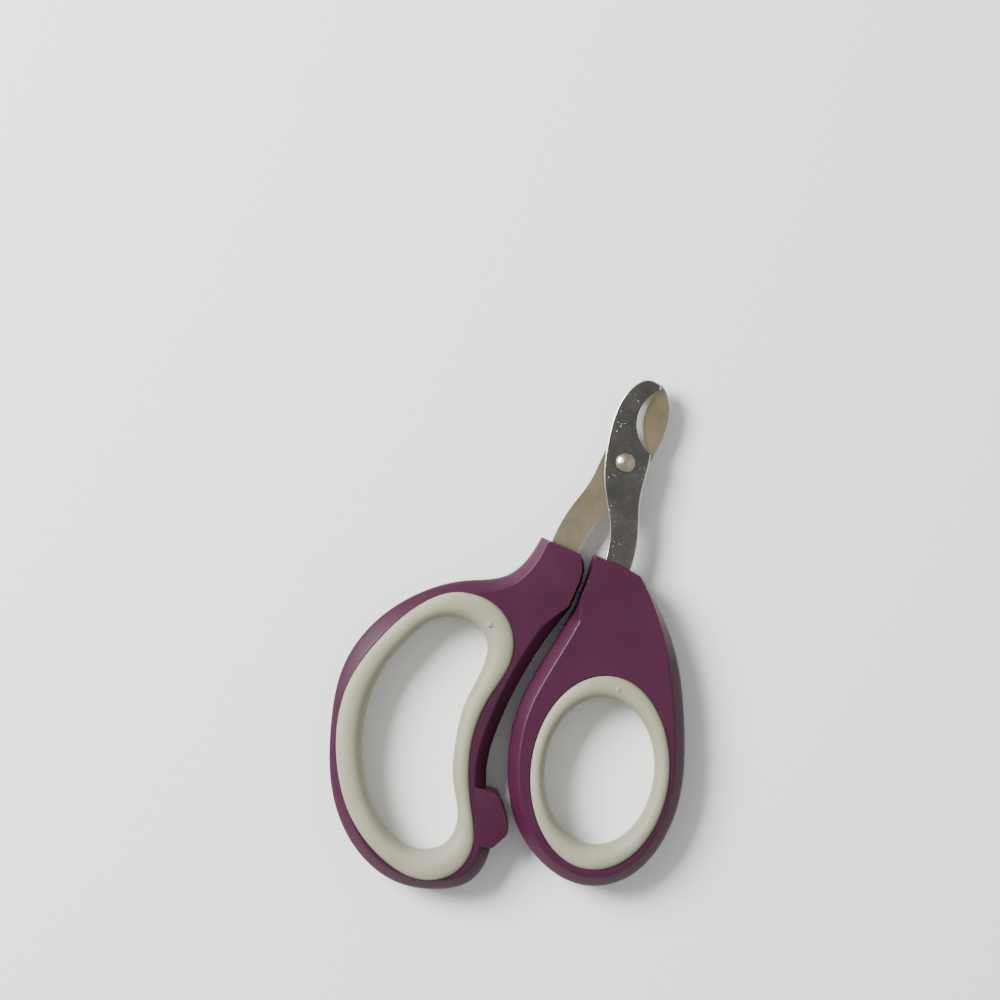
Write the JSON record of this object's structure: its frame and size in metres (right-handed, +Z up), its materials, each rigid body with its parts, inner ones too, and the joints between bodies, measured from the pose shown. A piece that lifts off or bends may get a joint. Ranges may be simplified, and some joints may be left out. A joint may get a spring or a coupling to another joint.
{
  "type": "scissor nail clipper",
  "caption": "Scissor-type claw clipper for small pets: hooked steel blades riveted together, moulded handles ending in rubber-lined finger and thumb loops.",
  "frame": {"origin": "middle of the closed tool's footprint, on the table that it lies on", "axes": "+Y towards the blade tips, +X towards the thumb loop, +Z up out of the table, along the rivet from tail to head"},
  "size_m": [0.063, 0.0902, 0.0088],
  "materials": {
    "blade_steel": "polished stainless",
    "rivet_steel": "bright nickel",
    "handle_plastic": "satin",
    "liner_rubber": "matt"
  },
  "bodies": {
    "left_half": {"rear_blade": "blade_steel", "left_handle": "handle_plastic", "left_liner": "liner_rubber", "pivot_rivet": "rivet_steel"},
    "right_half": {"front_blade": "blade_steel", "right_handle": "handle_plastic", "right_liner": "liner_rubber"}
  },
  "joints": [
    {"name": "blade_pivot", "type": "hinge", "parent": "left_half", "child": "right_half", "pos_m": [0.02099, 0.0304, 0.0044], "axis": [0, 0, 1], "range_deg": [-0.6, 42]}
  ]
}
